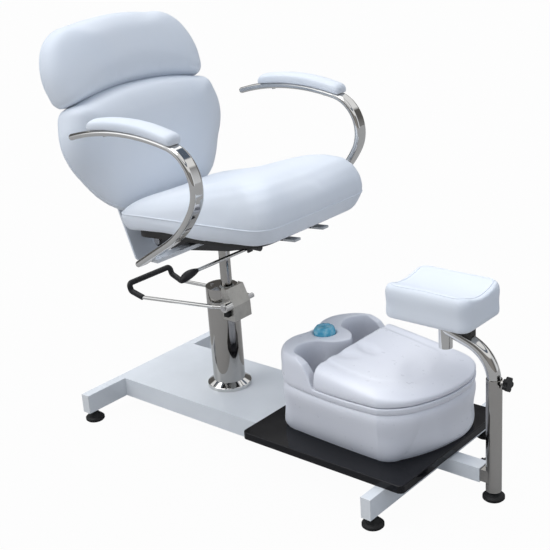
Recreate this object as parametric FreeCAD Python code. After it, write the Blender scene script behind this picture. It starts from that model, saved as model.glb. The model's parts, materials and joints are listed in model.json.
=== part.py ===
import FreeCAD, Part
import math
import os

# Pedicure spa chair, millimetres, +Z up, +X towards the foot basin, the floor at Z 0.
# The pump column's axis is X 0, Y 0 while modelling; finish() moves everything so that
# the middle of the whole chair's footprint is the origin.

V = FreeCAD.Vector
X = V(1, 0, 0)
Y = V(0, 1, 0)
Z = V(0, 0, 1)

# Clearances
RUN = 0.08          # radial gap of a running fit
SLIDE = 0.3         # gap between sliding faces
SOFT = 0.3          # gap between a soft piece and what it rests beside

# Base frame of square-edged steel tube
TUBE_W = 28.0
TUBE_H = 56.0
TUBE_T = 2.0
FLOOR_GAP = 32.0
REAR_X = -305.0
FRONT_X = 692.0
CROSS_Y = 290.0
CAP_T = 3.0
BOX_Y = 148.0
PLATE_T = 3.0

# Levelling feet
FOOT_R = 27.5
FOOT_Y = 265.0
FOOT_BOSS_R = 11.0
STUD_R = 5.0

# Foot board
BOARD_X0 = 253.0
BOARD_X1 = 754.0
BOARD_Y = 231.4
BOARD_T = 20.0
BOARD_R = 14.0

# Hydraulic pump
COL_R = 46.0
COL_T = 4.0
COL_TOP = 391.0
CAP_TOP = 394.0
FLANGE_R = 63.5
FLANGE_LIP = 11.0
FLANGE_H = 21.0
RAM_X = 20.0
RAM_R = 16.0
BARREL_R = 21.0
RAM_TOP = 545.0
LEVER_X = 60.0
LEVER_Z = 355.0
BOX_HALF = 35.0

# Seat
SEAT_TILT = 4.34
SEAT_Z = 589.0
SEAT_BOARD_T = 12.0
FRAME_Y = 100.0
FRAME_T = 4.0
HINGE_X = -133.0
HINGE_Z = 534.0
HINGE_R = 6.0
BAR_IN = 25.0
BAR_DROP = 10.4
BAR_T = 10.0
BAR_W = 30.0

# Arms
ARM_Y = 326.0
ARM_W = 40.0
ARM_T = 17.0

# Back
BACK_TILT = 20.6
BACK_X = -173.0
BACK_Z = 655.0
BACK_HALF_T = 42.0
BACK_BOARD_T = 12.0
BACK_PLATE_T = 6.0
BACK_PLATE_Y = 158.0

# Footrest
EXT_X0 = 430.0
HUB_X = 734.0
POST_X = HUB_X + 132.0
EXT_X1 = POST_X - 28.0
POST_R = 19.5
POST_TOP = 324.0
ARM_TUBE_R = 17.0
HUB_TOP = 448.0

# Basin
BASIN_Z = 108.0
BASIN_GROOVE = 242.0
BASIN_SEAT = 262.0
BASIN_RIM = 331.0

parts = {}


def box(x0, x1, y0, y1, z0, z1):
    return Part.makeBox(x1 - x0, y1 - y0, z1 - z0, V(x0, y0, z0))


def cyl(r, h, x, y, z, d=Z):
    return Part.makeCylinder(r, h, V(x, y, z), d)


def fuse(*shapes):
    first = shapes[0]
    rest = list(shapes[1:])
    if not rest:
        return first
    return first.multiFuse(rest).removeSplitter()


def cut(shape, *tools):
    return shape.cut(list(tools))


def turned(shape, deg, axis=Y, x=0, y=0, z=0):
    copy = shape.copy()
    copy.rotate(V(x, y, z), axis, deg)
    return copy


def moved(shape, x=0, y=0, z=0):
    copy = shape.copy()
    copy.translate(V(x, y, z))
    return copy


def mirrored(shape):
    return shape.mirror(V(0, 0, 0), Y)


def polygon(points):
    return Part.makePolygon(points + [points[0]])


def prism(points, direction):
    """Solid from a flat closed outline of points, pushed along direction."""
    return Part.Face(polygon(points)).extrude(direction)


def plate_xz(profile, y0, y1):
    """Prism of an X-Z outline between two Y values."""
    return prism([V(x, y0, z) for x, z in profile], V(0, y1 - y0, 0))


def rounded(x0, x1, y0, y1, r, z=0):
    """Closed rectangle with quarter-circle corners in the plane at height z."""
    s = r * (1 - math.sqrt(0.5))
    edges = [
        Part.makeLine(V(x0 + r, y0, z), V(x1 - r, y0, z)),
        Part.Arc(V(x1 - r, y0, z), V(x1 - s, y0 + s, z), V(x1, y0 + r, z)).toShape(),
        Part.makeLine(V(x1, y0 + r, z), V(x1, y1 - r, z)),
        Part.Arc(V(x1, y1 - r, z), V(x1 - s, y1 - s, z), V(x1 - r, y1, z)).toShape(),
        Part.makeLine(V(x1 - r, y1, z), V(x0 + r, y1, z)),
        Part.Arc(V(x0 + r, y1, z), V(x0 + s, y1 - s, z), V(x0, y1 - r, z)).toShape(),
        Part.makeLine(V(x0, y1 - r, z), V(x0, y0 + r, z)),
        Part.Arc(V(x0, y0 + r, z), V(x0 + s, y0 + s, z), V(x0 + r, y0, z)).toShape(),
    ]
    return Part.Wire(edges)


def slab(x0, x1, y0, y1, z0, z1, r):
    return Part.Face(rounded(x0, x1, y0, y1, r, z0)).extrude(V(0, 0, z1 - z0))


def loft(wires, ruled=False):
    solid = Part.makeLoft(wires, True, ruled)
    if solid.Volume < 0:
        solid.reverse()
    return solid


def revolve(profile, x, y):
    """Solid of revolution about the vertical line x, y from an (r, z) outline."""
    face = Part.Face(polygon([V(x + r, y, z) for r, z in profile]))
    return face.revolve(V(x, y, 0), Z, 360)


def sweep(path, profile):
    """One profile wire swept along a list of edges."""
    pipe = Part.Wire(path).makePipeShell([profile], True, False)
    if pipe.Volume < 0:
        pipe.reverse()
    return pipe


def circle(r, centre, normal):
    return Part.Wire(Part.makeCircle(r, centre, normal))


def near(solid, edge_test):
    """Edges of a solid that pass a test."""
    return [e for e in solid.Edges if edge_test(e)]


def keep(name, shape):
    parts[name] = shape


# Base

def cross_tube(x, holes):
    y = CROSS_Y
    top = FLOOR_GAP + TUBE_H
    w = TUBE_W / 2
    t = TUBE_T
    tube = box(x - w, x + w, -y, y, FLOOR_GAP, top)
    tube = cut(tube, box(x - w + t, x + w - t, -y - 1, y + 1, FLOOR_GAP + t, top - t))
    nut = FOOT_BOSS_R
    for side in (-1, 1):
        yf = side * FOOT_Y
        tube = fuse(tube, cyl(nut, 12, x, yf, FLOOR_GAP + t - 0.5))
        tube = cut(tube, cyl(STUD_R + RUN, 20, x, yf, FLOOR_GAP - 1))
    for hole in holes:
        tube = cut(tube, hole)
    return tube


def platform():
    """Boxed steel spine between the two cross tubes, open underneath."""
    x0 = REAR_X + TUBE_W / 2
    x1 = FRONT_X - TUBE_W / 2
    top = FLOOR_GAP + TUBE_H
    shell = box(x0, x1, -BOX_Y, BOX_Y, FLOOR_GAP, top)
    t = PLATE_T
    shell = cut(shell, box(x0 + t, x1 - t, -BOX_Y + t, BOX_Y - t, FLOOR_GAP - 1, top - t))
    rib = box(EXT_X0 - 20 - t, EXT_X0 - 20, -BOX_Y + t, BOX_Y - t, FLOOR_GAP, top - t)
    shell = fuse(shell, rib)
    slot = sleeve_outer(0)
    return cut(shell, slot, cyl(24, 12, RAM_X, 0, top - 8))


SLEEVE_Y = 21.4
SLEEVE_Z0 = 46.0
SLEEVE_Z1 = 84.0
SLEEVE_T = 2.5


def sleeve_outer(grow):
    g = grow
    return box(EXT_X0 - g, EXT_X1 + g, -SLEEVE_Y - g, SLEEVE_Y + g, SLEEVE_Z0 - g, SLEEVE_Z1 + g)


def extension_sleeve():
    t = SLEEVE_T
    outer = sleeve_outer(0)
    inner = box(EXT_X0 - 1, EXT_X1 + 1, -SLEEVE_Y + t, SLEEVE_Y - t, SLEEVE_Z0 + t, SLEEVE_Z1 - t)
    boss = cyl(9, 10, CLAMP_X, SLEEVE_Y - 1, CLAMP_Z, Y)
    body = cut(fuse(outer, boss), inner)
    return cut(body, cyl(CLAMP_R + RUN, 20, CLAMP_X, SLEEVE_Y - t - 1, CLAMP_Z, Y))


CLAMP_X = 815.0
CLAMP_Z = 65.0
CLAMP_R = 4.0


def star_knob(r_grip, r_stem, stem, lobes=5):
    """Lobed knob along +Z with its threaded stem pointing down, base at Z 0."""
    body = cyl(r_grip * 0.72, 12, 0, 0, 4)
    for i in range(lobes):
        a = 2 * math.pi * i / lobes
        lobe = cyl(r_grip * 0.34, 12, r_grip * 0.66 * math.cos(a), r_grip * 0.66 * math.sin(a), 4)
        body = fuse(body, lobe)
    neck = cyl(r_grip * 0.42, 5, 0, 0, 0)
    pin = cyl(r_stem, stem + 2, 0, 0, -stem)
    return fuse(body, neck, pin)


def foot(x, y):
    """Levelling foot: pad, boss and threaded stud in one turning piece."""
    top = FLOOR_GAP - 0.4
    pad = revolve([(0, 0), (FOOT_R - 3, 0), (FOOT_R, 3), (FOOT_R, 9), (FOOT_R - 5, 14),
                   (18, 16), (14, 22), (FOOT_BOSS_R, 24), (FOOT_BOSS_R, top), (0, top)], x, y)
    return fuse(pad, cyl(STUD_R, 14, x, y, top - 1))


def make_base():
    sleeve = sleeve_outer(0)
    keep("rear_cross_tube", cross_tube(REAR_X, []))
    keep("front_cross_tube", cross_tube(FRONT_X, [sleeve]))
    keep("platform", platform())
    keep("extension_sleeve", extension_sleeve())
    top = FLOOR_GAP + TUBE_H
    w = TUBE_W / 2
    t = TUBE_T
    caps = []
    for x in (REAR_X, FRONT_X):
        for side in (-1, 1):
            y0, y1 = sorted((side * CROSS_Y, side * (CROSS_Y + CAP_T)))
            head = box(x - w, x + w, y0, y1, FLOOR_GAP, top)
            y0, y1 = sorted((side * (CROSS_Y - 8), side * CROSS_Y))
            plug = box(x - w + t, x + w - t, y0, y1, FLOOR_GAP + t, top - t)
            caps.append(fuse(head, plug))
    keep("tube_end_caps", Part.makeCompound(caps))
    z = FLOOR_GAP + TUBE_H
    board = slab(BOARD_X0, BOARD_X1, -BOARD_Y, BOARD_Y, z, z + BOARD_T, BOARD_R)
    rim = near(board, lambda e: abs(e.BoundBox.ZMin - z - BOARD_T) < 0.01 and e.BoundBox.ZLength < 0.01)
    board = board.makeFillet(2.0, rim)
    screws = []
    for x in (BOARD_X0 + 60, FRONT_X - TUBE_W / 2 - 80):
        for y in (-BOX_Y + 30, BOX_Y - 30):
            shank = cyl(4, BOARD_T - 4 + PLATE_T + 4, x, y, z - PLATE_T - 4)
            head = cyl(7, 4, x, y, z - PLATE_T - 4)
            screw = fuse(shank, head)
            board = cut(board, shank)
            parts["platform"] = cut(parts["platform"], shank)
            screws.append(screw)
    keep("foot_board", board)
    keep("board_screws", Part.makeCompound(screws))
    keep("foot_rear_near", foot(REAR_X, -FOOT_Y))
    keep("foot_rear_far", foot(REAR_X, FOOT_Y))
    keep("foot_front_near", foot(FRONT_X, -FOOT_Y))
    keep("foot_front_far", foot(FRONT_X, FOOT_Y))
    knob = star_knob(11, CLAMP_R, 9)
    knob = turned(knob, -90, X)
    keep("clamp_knob", moved(knob, CLAMP_X, SLEEVE_Y + 9 + SLIDE, CLAMP_Z))


# Pump

def bent(points, r):
    """Edges of a path of straight runs joined by arcs of radius r."""
    edges = []
    last = points[0]
    for i in range(1, len(points) - 1):
        a = (points[i - 1] - points[i]).normalize()
        b = (points[i + 1] - points[i]).normalize()
        half = math.acos(max(-1.0, min(1.0, a.dot(b)))) / 2
        back = r / math.tan(half)
        start = points[i] + a * back
        end = points[i] + b * back
        towards = (a + b).normalize()
        mid = points[i] + towards * (r / math.sin(half) - r)
        if (start - last).Length > 0.01:
            edges.append(Part.makeLine(last, start))
        edges.append(Part.Arc(start, mid, end).toShape())
        last = end
    edges.append(Part.makeLine(last, points[-1]))
    return edges


def rod(points, bend, r):
    path = bent(points, bend)
    start = (points[1] - points[0]).normalize()
    return sweep(path, circle(r, points[0], start))


def box_outline(inset):
    """Side outline of the lever box; a positive inset makes it smaller."""
    i = inset
    return [(30, 308 + i), (74.5 - i, 308 + i), (72.5 - i, 351 - i * 0.5),
            (50 - i * 0.5, 400 - i), (30, 400 - i)]


PISTON_X = LEVER_X - 15.0
PISTON_Y = 26.0
PISTON_R = 4.0
SHAFT_R = 7.0
CAM_T = 3.0
BOX_T = 2.5


def lever_box():
    outer = plate_xz(box_outline(0), -BOX_HALF, BOX_HALF)
    inner = plate_xz(box_outline(BOX_T), -BOX_HALF + BOX_T, BOX_HALF - BOX_T)
    guide = cyl(PISTON_R + 4, 24, PISTON_X, PISTON_Y, 308)
    body = fuse(cut(outer, inner), guide)
    body = cut(body, cyl(COL_R, 200, 0, 0, 250))
    body = cut(body, cyl(PISTON_R + RUN, 60, PISTON_X, PISTON_Y, 310))
    return cut(body, cyl(SHAFT_R + RUN, 120, LEVER_X, -60, LEVER_Z, Y))


def make_pump():
    z = FLOOR_GAP + TUBE_H
    ring = revolve([(COL_R, z), (FLANGE_R, z), (FLANGE_R, z + FLANGE_LIP - 1),
                    (FLANGE_R - 1, z + FLANGE_LIP), (COL_R, z + FLANGE_H)], 0, 0)
    bolts = []
    for i in range(4):
        a = math.radians(45 + 90 * i)
        x = (COL_R + FLANGE_R) / 2 * math.cos(a)
        y = (COL_R + FLANGE_R) / 2 * math.sin(a)
        shank = cyl(3, 12, x, y, z - PLATE_T)
        ring = cut(ring, shank)
        parts["platform"] = cut(parts["platform"], shank)
        bolts.append(fuse(shank, cyl(5.5, 4, x, y, z - PLATE_T - 4)))
    keep("pump_flange", ring)
    tube = revolve([(COL_R - COL_T, z), (COL_R, z), (COL_R, COL_TOP), (COL_R - COL_T, COL_TOP)], 0, 0)
    floor = cyl(COL_R - COL_T, 6, 0, 0, z)
    keep("pump_cylinder", fuse(tube, floor))
    cap = cyl(COL_R, CAP_TOP - COL_TOP, 0, 0, COL_TOP)
    cap = fuse(cap, cyl(COL_R - COL_T, 5, 0, 0, COL_TOP - 5))
    cap = cut(cap, cyl(BARREL_R, 30, RAM_X, 0, COL_TOP - 10))
    filler = fuse(cyl(5, 3, -24, -14, CAP_TOP), cyl(3, 9, -24, -14, CAP_TOP - 8))
    cap = cut(cap, cyl(3, 20, -24, -14, COL_TOP - 10))
    keep("pump_cap", cap)
    keep("pump_screws", Part.makeCompound(bolts + [filler]))
    bore = RAM_R + 2
    low = z + 6
    barrel = revolve([(bore, low), (BARREL_R, low), (BARREL_R, COL_TOP - 12), (bore, COL_TOP - 12)],
                     RAM_X, 0)
    keep("ram_barrel", barrel)
    bush = revolve([(RAM_R + RUN, COL_TOP - 12), (BARREL_R, COL_TOP - 12), (BARREL_R, CAP_TOP),
                    (RAM_R + 4, CAP_TOP + 2), (RAM_R + RUN, CAP_TOP + 2)], RAM_X, 0)
    keep("ram_bush", bush)
    bottom = low + 50
    ram = cyl(RAM_R, RAM_TOP - bottom, RAM_X, 0, bottom)
    keep("ram", fuse(ram, cyl(bore - RUN, 14, RAM_X, 0, bottom)))
    keep("lever_box", lever_box())
    y = -BOX_HALF
    keep("bumper_block", box(44, 60, y - 11, y, 322, 338))


def make_pedal():
    finger = box(LEVER_X - 20, LEVER_X, PISTON_Y - 4, PISTON_Y + 4, LEVER_Z - CAM_T, LEVER_Z + CAM_T)
    shaft = cyl(SHAFT_R, 124, LEVER_X, -64, LEVER_Z, Y)
    shaft = fuse(shaft, finger)
    shaft = cut(shaft, cyl(COL_R + 0.5, 40, 0, 0, LEVER_Z - 20))
    keep("lever_shaft", shaft)
    hub = cyl(13, 26, LEVER_X, -BOX_HALF - SLIDE - 26, LEVER_Z, Y)
    hub = cut(hub, cyl(SHAFT_R, 140, LEVER_X, -70, LEVER_Z, Y))
    path = []
    for s in (-1, 1):
        leg = [V(LEVER_X, s * 50, LEVER_Z), V(LEVER_X - 40, s * 62, LEVER_Z - 2),
               V(-247, s * 80, 333), V(-290, s * 84, 346), V(-297, s * 84, 368)]
        path.append(leg)
    points = path[0] + path[1][::-1]
    bar = rod(points, 11, PEDAL_R)
    bar = cut(bar, cyl(SHAFT_R, 140, LEVER_X, -70, LEVER_Z, Y), hub)
    keep("pedal_hub", hub)
    top = top_of_pedal(points)
    sleeve = cut(rod(top, 11, PEDAL_R + 3), rod(points, 11, PEDAL_R + 0.02))
    keep("pedal_rod", bar)
    keep("pedal_sleeve", sleeve)
    top_z = LEVER_Z - CAM_T - SLIDE
    plunger = cyl(PISTON_R, top_z - 4 - 316, PISTON_X, PISTON_Y, 316)
    keep("pump_piston", fuse(plunger, cyl(2, 5, PISTON_X, PISTON_Y, top_z - 5)))


PEDAL_R = 5.5


def top_of_pedal(points):
    """The sleeve's own run: it starts and ends part way along the two legs."""
    return points[2:-2]


# Seat: modelled flat with its underside at Z 0, then tilted and lifted by seat()

FRAME_U0 = -150.0
FRAME_U1 = 230.0
EAR_R = 18.0
HUB_Z0 = 516.0
RAIL_V = 58.0
RAIL_W = 24.0
GAS_Z = 548.0
GAS_R = 9.0
GAS_ROD_R = 4.0
GAS_Y = -40.0
LEVER_ROD_R = 4.5
LEVER_ROD_X = 190.0
LEVER_ROD_Z = 560.0
LEVER_SWING = 15.0
LEVER_PIN_R = 3.0
LUG_IN = 14.0
LUG_GAP = 7.0
LUG_R = 7.5
T_IN = FRAME_T - 0.5


def seat(shape):
    return moved(turned(shape, -SEAT_TILT), 0, 0, SEAT_Z)


def seat_w(x):
    """World height of the seat's underside plane over a world X."""
    return SEAT_Z + x * math.tan(math.radians(SEAT_TILT))


def mech_frame():
    """Folded steel tray under the seat with two cheeks and two front rails."""
    t = FRAME_T
    top = -SEAT_BOARD_T
    y = FRAME_Y
    tray = box(FRAME_U0, FRAME_U1, -y, y, top - t, top)
    side = [(FRAME_U0, top), (FRAME_U0, -58), (FRAME_U0 + 40, -66), (-35, -64), (132, -52),
            (FRAME_U1, -34), (FRAME_U1, top)]
    rails = []
    for s in (-1, 1):
        rails.append(plate_xz(side, s * y - (t if s > 0 else 0), s * y + (t if s < 0 else 0)))
        v = s * RAIL_V
        rails.append(box(FRAME_U1 - 60, 338, v - RAIL_W / 2, v + RAIL_W / 2, top - t - 2, top))
    front = box(FRAME_U1 - t, FRAME_U1, -y, y, -34, top)
    body = seat(fuse(tray, front, *rails))
    pivot = cyl(EAR_R, 2 * y, HINGE_X, -y, HINGE_Z, Y)
    cheeks = cut(pivot, box(-300, 300, -y + t, y - t, 400, 700))
    body = fuse(body, cheeks)
    body = cut(body, cyl(HINGE_R, 3 * y, HINGE_X, -1.5 * y, HINGE_Z, Y))
    w = BAR_W / 2
    h = BAR_T / 2
    slot = box(BAR_X - w, BAR_X + w, -ARM_Y, ARM_Y, BAR_Z - h, BAR_Z + h)
    body = cut(body, slot)
    r = LEVER_ROD_R + SLIDE
    travel = (LUG_IN + LEVER_ROD_R) * math.tan(math.radians(LEVER_SWING))
    way = fuse(cyl(r, 20, LEVER_ROD_X, -y - 5, LEVER_ROD_Z, Y),
               box(LEVER_ROD_X - r, LEVER_ROD_X + r, -y - 5, -y + 15, LEVER_ROD_Z, LEVER_ROD_Z + travel),
               cyl(r, 20, LEVER_ROD_X, -y - 5, LEVER_ROD_Z + travel, Y))
    body = cut(body, way)
    low = LEVER_ROD_Z - LUG_R
    for s in (-1, 1):
        x0, x1 = sorted((LEVER_ROD_X + s * LUG_GAP, LEVER_ROD_X + s * (LUG_GAP + FRAME_T)))
        lug = box(x0, x1, -y + T_IN, -y + LUG_IN + LUG_R, low, LEVER_ROD_Z + LUG_R)
        body = fuse(body, lug)
    wide = LUG_GAP + FRAME_T
    return fuse(body, cyl(LEVER_PIN_R, 2 * wide, LEVER_ROD_X - wide, -y + LUG_IN, LEVER_ROD_Z, X))


def swivel_hub():
    hub = cyl(26, 100, RAM_X, 0, HUB_Z0)
    hub = cut(hub, seat(box(-200, 300, -200, 200, -SEAT_BOARD_T - FRAME_T, 200)))
    w = BAR_W / 2
    h = BAR_T / 2
    hub = cut(hub, box(BAR_X - w, BAR_X + w, -100, 100, BAR_Z - h, BAR_Z + h))
    return cut(hub, cyl(RAM_R + RUN, RAM_TOP - 490 + SLIDE, RAM_X, 0, 490))


SEAT_HALF = 199.0
SEAT_CORNER = 54.0
SKIRT_REAR = 8.0
SKIRT_FRONT = 4.0


def seat_cushion():
    """Boxed seat with a drawn-in skirt, a welt line and a roll rising to the front."""
    levels = [
        # grow in plan, rear end, front end, height at u -175, height at u 370
        (0.0, -168, 347, SKIRT_REAR, SKIRT_FRONT),
        (9.0, -173, 358, 16, 16),
        (16.0, -178, 374, 36, 42),
        (18.0, -180, 380, 48, 64),
        (16.0, -179, 378, 55, 94),
        (9.0, -173, 368, 62, 124),
        (-6.0, -162, 350, 68, 150),
        (-34.0, -138, 318, 71, 166),
        (-80.0, -94, 268, 74, 175),
        (-130.0, -50, 214, 76, 178),
    ]
    wires = []
    for grow, u0, u1, w0, w1 in levels:
        half = SEAT_HALF + grow
        wire = rounded(u0, u1, -half, half, SEAT_CORNER + min(grow, 0) * 0.2)
        rise = math.degrees(math.atan2(w1 - w0, 545))
        wire = turned(wire, -rise, Y, -175, 0, 0)
        wires.append(moved(wire, 0, 0, w0))
    return seat(loft(wires, True))


def seat_board():
    """Plywood board whose top follows the slope of the cushion's underside."""
    board = slab(-156, 302, -174, 174, -SEAT_BOARD_T, SKIRT_REAR + 2, 60)
    rise = math.degrees(math.atan2(SKIRT_FRONT - SKIRT_REAR, 545))
    above = turned(box(-400, 800, -300, 300, 0, 60), -rise, Y, -175, 0, 0)
    return cut(board, moved(above, 0, 0, SKIRT_REAR - SOFT))


ARC_X = 35.0
ARC_Z = 203.0
BEND_X = 164.0
BEND_Z = 789.0
BEND_R = 100.0
BEND_END = -28.7
SWEEP_R = 279.0
ARC_R = math.hypot(BEND_X - ARC_X, BEND_Z - ARC_Z) + BEND_R
ARM_TIP_X = -155.0
ARM_DIP = 32.0
ARM_RUN = 129.0


def arc_edge(cx, cz, r, start, stop, a0, a1):
    mid = (a0 + a1) / 2
    return Part.Arc(start, V(cx + r * math.cos(mid), 0, cz + r * math.sin(mid)), stop).toShape()


def on_arc(cx, cz, r, a):
    return V(cx + r * math.cos(a), 0, cz + r * math.sin(a))


def sweep_centre():
    """Centre of the wide arc that follows on from the front bend."""
    a = math.radians(BEND_END)
    k = SWEEP_R - BEND_R
    return BEND_X - k * math.cos(a), BEND_Z - k * math.sin(a)


def arm_path():
    """Centre line of an arm tube in the plane Y 0, from its rear tip round to its lower end."""
    tip, out, end, down = arm_ends()
    a0 = math.acos((ARM_TIP_X - ARC_X) / ARC_R)
    a1 = math.atan2(BEND_Z - ARC_Z, BEND_X - ARC_X)
    a2 = math.radians(BEND_END)
    a3 = math.radians(ARM_DIP - 90)
    cx, cz = sweep_centre()
    joint = on_arc(ARC_X, ARC_Z, ARC_R, a1)
    turn = on_arc(BEND_X, BEND_Z, BEND_R, a2)
    low = on_arc(cx, cz, SWEEP_R, a3)
    return [arc_edge(ARC_X, ARC_Z, ARC_R, tip, joint, a0, a1),
            arc_edge(BEND_X, BEND_Z, BEND_R, joint, turn, a1, a2),
            arc_edge(cx, cz, SWEEP_R, turn, low, a2, a3),
            Part.makeLine(low, end)]


def flat_oval(w, t, centre, across):
    """Stadium outline of width w along Y and thickness t along the given direction."""
    r = t / 2
    h = w / 2 - r
    a = across * r
    y = V(0, 1, 0)
    edges = [
        Part.makeLine(centre + a - y * h, centre + a + y * h),
        Part.Arc(centre + a + y * h, centre + y * (h + r), centre - a + y * h).toShape(),
        Part.makeLine(centre - a + y * h, centre - a - y * h),
        Part.Arc(centre - a - y * h, centre - y * (h + r), centre + a - y * h).toShape(),
    ]
    return Part.Wire(edges)


ARM_WALL = 2.0


def arm_ends():
    """Tip point, outward direction there, end point and the direction down the run."""
    a0 = math.acos((ARM_TIP_X - ARC_X) / ARC_R)
    out = V(math.cos(a0), 0, math.sin(a0))
    tip = V(ARC_X, 0, ARC_Z) + out * ARC_R
    dip = math.radians(ARM_DIP)
    down = V(-math.cos(dip), 0, -math.sin(dip))
    cx, cz = sweep_centre()
    low = on_arc(cx, cz, SWEEP_R, dip - math.pi / 2)
    return tip, out, low + down * ARM_RUN, down


BAR_X = arm_ends()[2].x + BAR_IN * math.cos(math.radians(ARM_DIP))
BAR_Z = arm_ends()[2].z + BAR_IN * math.sin(math.radians(ARM_DIP)) - BAR_DROP


def arm_tube():
    path = arm_path()
    tip, out, end, down = arm_ends()
    outer = sweep(path, flat_oval(ARM_W, ARM_T, tip, out))
    g = 2 * ARM_WALL
    inner = sweep(path, flat_oval(ARM_W - g, ARM_T - g, tip, out))
    tube = cut(outer, inner)
    for x in BOLT_XS:
        tube = cut(tube, arm_radial(cyl(3.2, 60, 0, 0, -30), x))
    return tube


BOLT_XS = (-41.0, 150.0)


def arm_radial(shape, x):
    """Places a shape built around the origin on the arm's big arc at X x, its Z pointing out."""
    dx = x - ARC_X
    lean = math.degrees(math.asin(dx / ARC_R))
    z = ARC_Z + math.sqrt(ARC_R * ARC_R - dx * dx)
    return moved(turned(shape, lean), x, 0, z)


def arm_bolts():
    out = []
    for x in BOLT_XS:
        bolt = fuse(cyl(3.1, 30, 0, 0, -12.1), cyl(5.5, 3.4, 0, 0, -ARM_T / 2 - 3.6))
        out.append(arm_radial(bolt, x))
    return out


def arm_caps():
    """Domed chrome cap below, black cap at the rear tip."""
    tip, out, end, down = arm_ends()
    across = V(down.z, 0, -down.x)
    rings = []
    for k, w, t in ((0, ARM_W, ARM_T), (4, ARM_W - 2, ARM_T - 2), (7, ARM_W - 9, ARM_T - 8)):
        rings.append(flat_oval(w, t, end + down * k, across))
    low = loft(rings, True)
    back = V(-out.z, 0, out.x)
    rings = []
    for k, w, t in ((0, ARM_W, ARM_T), (3, ARM_W - 2, ARM_T - 2), (5, ARM_W - 8, ARM_T - 8)):
        rings.append(flat_oval(w, t, tip + back * k, out))
    return [low, loft(rings, True)]


def pad_section(x, half, low, high):
    """Arm pad section: flat base, drawn-in sides and a crown."""
    pull = 2.5
    top = high - 7
    pts = [V(0, -half + pull, low), V(0, half - pull, low), V(0, half, (low + top) / 2),
           V(0, half - pull, top), V(0, 0, high), V(0, -half + pull, top), V(0, -half, (low + top) / 2)]
    edges = [Part.makeLine(pts[0], pts[1]), Part.Arc(pts[1], pts[2], pts[3]).toShape(),
             Part.Arc(pts[3], pts[4], pts[5]).toShape(), Part.Arc(pts[5], pts[6], pts[0]).toShape()]
    return arm_radial(Part.Wire(edges), x)


def arm_pad():
    base = ARM_T / 2
    stations = [(-80, 23, base, base + 15), (-76, 26, base, base + 22), (-60, 28, base, base + 27),
                (20, 28.5, base, base + 29), (110, 28.5, base, base + 29), (180, 28, base, base + 27),
                (198, 26, base, base + 23), (204, 23, base, base + 15)]
    pad = loft([pad_section(*s) for s in stations])
    tip, out, end, down = arm_ends()
    pad = cut(pad, sweep(arm_path(), flat_oval(ARM_W, ARM_T, tip, out)))
    for x in BOLT_XS:
        pad = cut(pad, arm_radial(cyl(3.1, 30, 0, 0, -12.1), x))
    return pad


def make_seat():
    keep("mech_frame", mech_frame())
    keep("swivel_hub", swivel_hub())
    keep("seat_cushion", seat_cushion())
    board = seat_board()
    screws = []
    for u in (-110, 185):
        for v in (-80, 80):
            low = -SEAT_BOARD_T - FRAME_T
            shank = cyl(3, FRAME_T + SEAT_BOARD_T, u, v, low)
            board = cut(board, shank)
            parts["mech_frame"] = cut(parts["mech_frame"], seat(shank))
            screws.append(seat(fuse(shank, cyl(6, 4, u, v, low - 4))))
    keep("seat_board", seat(board))
    keep("seat_bolts", Part.makeCompound(screws))
    w = BAR_W / 2
    h = BAR_T / 2
    y = ARM_Y - ARM_W / 2
    keep("arm_bar", box(BAR_X - w, BAR_X + w, -y, y, BAR_Z - h, BAR_Z + h))
    tube = arm_tube()
    pad = arm_pad()
    bolts = []
    caps = []
    for name, s in (("near", -1), ("far", 1)):
        keep("arm_" + name, moved(tube, 0, s * ARM_Y))
        keep("arm_pad_" + name, moved(pad, 0, s * ARM_Y))
        bolts += [moved(b, 0, s * ARM_Y) for b in arm_bolts()]
        caps += [moved(c, 0, s * ARM_Y) for c in arm_caps()]
    keep("arm_bolts", Part.makeCompound(bolts))
    keep("arm_caps", Part.makeCompound(caps))


# Recline lever and gas spring

PIN_LEAN = 15.0
CRANK = 18.0
PIN_X = HINGE_X + CRANK * math.sin(math.radians(PIN_LEAN))
PIN_Z = HINGE_Z + CRANK * math.cos(math.radians(PIN_LEAN))
GAS_LINE = -47.5
EYE_R = 4.0


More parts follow.
